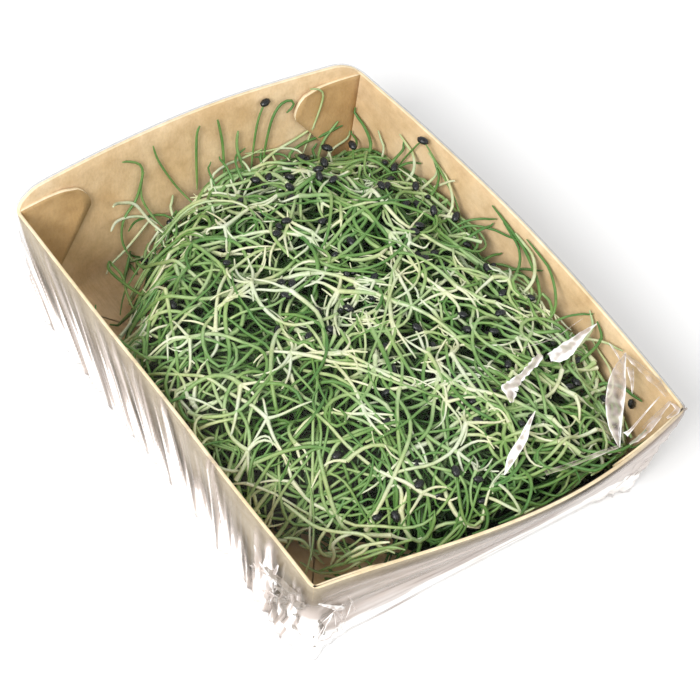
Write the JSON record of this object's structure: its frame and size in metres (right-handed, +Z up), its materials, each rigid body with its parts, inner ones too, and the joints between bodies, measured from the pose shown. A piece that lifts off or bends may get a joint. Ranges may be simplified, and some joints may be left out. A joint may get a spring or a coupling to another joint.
{
  "type": "garlic sprouts",
  "caption": "Fresh garlic sprouts heaped in a folded kraft board tray with flared walls, wrapped in taut clear film.",
  "frame": {"origin": "on the surface the tray stands on, under the middle of the object's box", "axes": "+X along the tray's long side towards the short wall that bows out most, +Y across it, +Z up"},
  "size_m": [0.1558, 0.1166, 0.0396],
  "materials": {
    "kraft_board": "matte kraft paper board",
    "clear_film": "glossy clear stretch film",
    "sprouts": "satin, moist stems"
  },
  "bodies": {
    "root": {"tray": "kraft_board", "film": "clear_film", "sprouts": "sprouts"}
  },
  "joints": []
}
